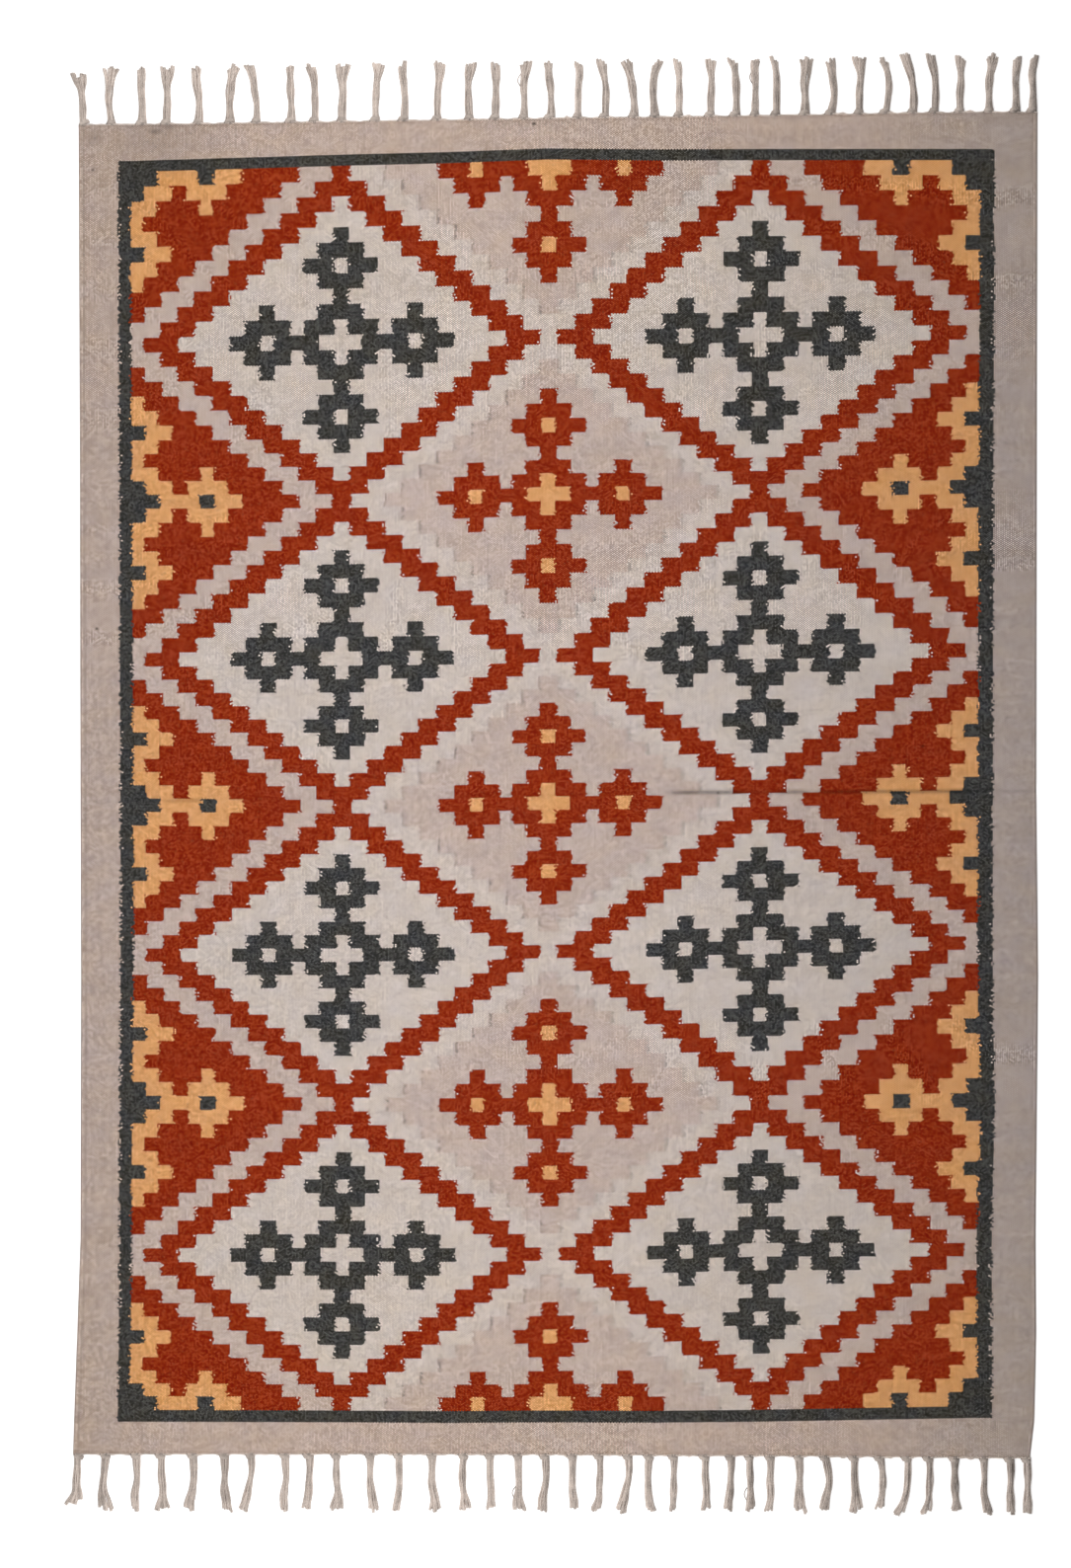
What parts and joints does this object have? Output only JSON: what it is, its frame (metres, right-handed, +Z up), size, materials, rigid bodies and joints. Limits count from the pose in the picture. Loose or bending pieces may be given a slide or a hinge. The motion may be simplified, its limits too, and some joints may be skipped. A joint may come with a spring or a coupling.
{
  "type": "kilim rug",
  "caption": "Flat-woven wool kilim rug with stepped diamonds, a plain border and a knotted tassel fringe at each end, lying flat.",
  "frame": {"origin": "middle of the rug's body, on its flat underside", "axes": "+Z up from the floor, +Y along the rug towards the end that is uppermost in the picture, +X across it to the right"},
  "size_m": [1.5432, 2.3324, 0.006],
  "materials": {
    "kilim_weave": "matte weft-faced wool flat weave",
    "warp_yarn": "matte knotted undyed yarn"
  },
  "bodies": {
    "root": {"rug": "kilim_weave", "fringe_top": "warp_yarn", "fringe_bottom": "warp_yarn"}
  },
  "joints": []
}
